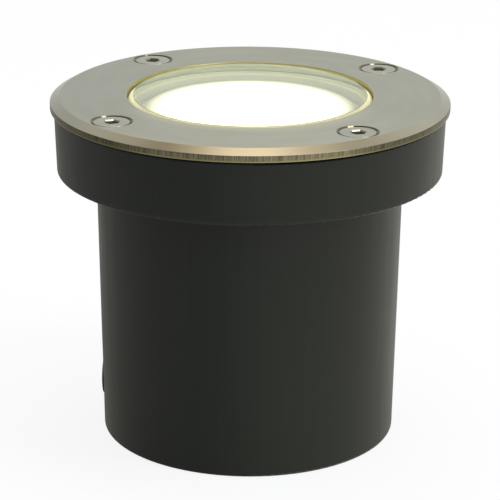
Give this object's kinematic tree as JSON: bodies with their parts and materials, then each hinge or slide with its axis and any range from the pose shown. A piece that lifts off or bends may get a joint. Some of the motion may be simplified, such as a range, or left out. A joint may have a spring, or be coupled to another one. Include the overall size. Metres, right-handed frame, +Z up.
{
  "type": "in ground well light",
  "caption": "Recessed round well light: plastic ground sleeve with a wide collar, stainless cover ring on countersunk screws, stepped clear glass and a flat disc lamp in a die-cast can.",
  "frame": {"origin": "centre of the sleeve's base, on the surface it stands on", "axes": "+Z up along the light's own axis, towards the glass; +X and +Y level, with the cable entry facing -X"},
  "size_m": [0.125, 0.125, 0.11],
  "materials": {
    "sleeve_plastic": "moulded, matt, charcoal",
    "black_rubber": "moulded rubber",
    "stainless": "turned and brushed stainless steel",
    "screw_steel": "polished stainless steel",
    "clear_glass": "clear toughened glass",
    "silicone": "pale translucent silicone",
    "cast_aluminium": "die-cast",
    "insert_brass": "turned brass",
    "lamp_plastic": "moulded, satin white",
    "bezel_plastic": "moulded, satin grey",
    "opal_diffuser": "opal",
    "board": "white solder mask",
    "led": "phosphor",
    "driver_board": "green solder mask",
    "holder_plastic": "moulded, heat-resistant",
    "contact_bronze": "spring bronze",
    "zinc_steel": "zinc plated",
    "gland_plastic": "moulded nylon",
    "terminal_plastic": "moulded ivory"
  },
  "bodies": {
    "sleeve": {"installation_sleeve": "sleeve_plastic", "cable_grommet": "black_rubber"},
    "luminaire": {"luminaire_housing": "cast_aluminium", "threaded_inserts": "insert_brass", "holder_body": "holder_plastic", "holder_cover": "holder_plastic", "holder_contacts": "contact_bronze", "holder_screws": "zinc_steel", "holder_plate": "zinc_steel", "plate_screws": "zinc_steel", "gland_body": "gland_plastic", "gland_washer": "black_rubber", "gland_locknut": "gland_plastic", "gland_seal": "black_rubber", "gland_cap": "gland_plastic", "terminal_block": "terminal_plastic", "terminal_screws": "insert_brass", "earth_screw": "zinc_steel", "earth_tab": "contact_bronze"},
    "cover": {"cover_ring": "stainless", "cover_screws": "screw_steel", "upper_gasket": "silicone", "lens_glass": "clear_glass", "lower_gasket": "silicone"},
    "lamp": {"lamp_body": "lamp_plastic", "lamp_bezel": "bezel_plastic", "lamp_diffuser": "opal_diffuser", "led_board": "board", "led_chips": "led", "lamp_driver": "driver_board", "lamp_pins": "insert_brass"}
  },
  "joints": [
    {"name": "luminaire_lift", "type": "slide", "parent": "sleeve", "child": "luminaire", "axis": [0, 0, 1], "range_m": [0, 0.1]},
    {"name": "cover_lift", "type": "slide", "parent": "luminaire", "child": "cover", "axis": [0, 0, 1], "range_m": [0, 0.045]},
    {"name": "lamp_twist", "type": "hinge", "parent": "luminaire", "child": "lamp", "pos_m": [0, 0, 0.08], "axis": [0, 0, 1], "range_deg": [0, 20]}
  ]
}
